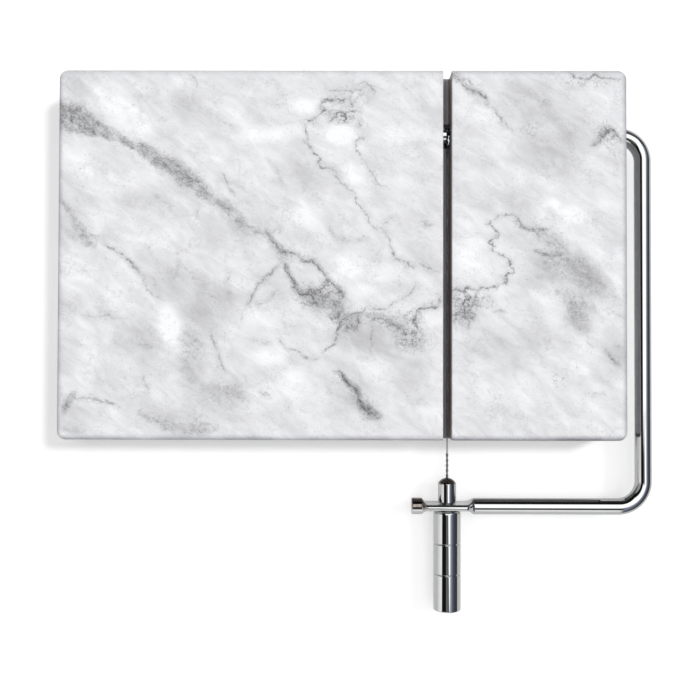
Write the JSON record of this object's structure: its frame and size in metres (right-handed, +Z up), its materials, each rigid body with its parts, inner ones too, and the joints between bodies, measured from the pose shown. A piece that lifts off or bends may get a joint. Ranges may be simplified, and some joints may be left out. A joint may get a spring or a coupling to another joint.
{
  "type": "cheese wire cutter",
  "caption": "White marble cheese board with a chromed rod arm that swings a tensioned cutting wire down into a slot in the board.",
  "frame": {"origin": "the middle of the whole cutter's outline seen from above, on the plane of the feet's undersides", "axes": "+Z up from the table, +X to the user's right, along the pivot, and +Y away from the user, with the handle on the -Y side"},
  "size_m": [0.228, 0.2068, 0.022],
  "materials": {
    "marble": "honed white marble with grey veins, softly polished, edges rounded",
    "arm_chrome": "mirror-polished chrome plate",
    "bolt_chrome": "polished chrome plate",
    "handle_chrome": "mirror-polished chrome plate",
    "wire_steel": "drawn stainless wire",
    "ball_steel": "turned steel, blackened",
    "bushing_nylon": "black nylon, as moulded",
    "foot_rubber": "matt moulded rubber"
  },
  "bodies": {
    "board": {"marble_board": "marble", "outer_bushing": "bushing_nylon", "inner_bushing": "bushing_nylon", "foot_front_left": "foot_rubber", "foot_front_right": "foot_rubber", "foot_rear_left": "foot_rubber", "foot_rear_right": "foot_rubber"},
    "arm": {"cutting_arm": "arm_chrome", "cutting_wire": "wire_steel", "rear_wire_ball": "ball_steel", "front_wire_ball": "ball_steel"},
    "bolt": {"tension_bolt": "bolt_chrome"},
    "handle": {"handle": "handle_chrome"}
  },
  "joints": [
    {"name": "arm_swing", "type": "hinge", "parent": "board", "child": "arm", "pos_m": [0.03386, 0.08075, 0.0125], "axis": [-1, 0, 0], "range_deg": [0, 180]},
    {"name": "handle_turn", "type": "hinge", "parent": "arm", "child": "handle", "pos_m": [0.03476, -0.0649, 0.0125], "axis": [0, -1, 0], "range_deg": [0, 1080]},
    {"name": "bolt_travel", "type": "slide", "parent": "arm", "child": "bolt", "axis": [0, 1, 0], "range_m": [0, 0.00301]}
  ],
  "couplings": [
    {"joint": "bolt_travel", "follows": "handle_turn", "m_per_rad": 0.00015915}
  ]
}
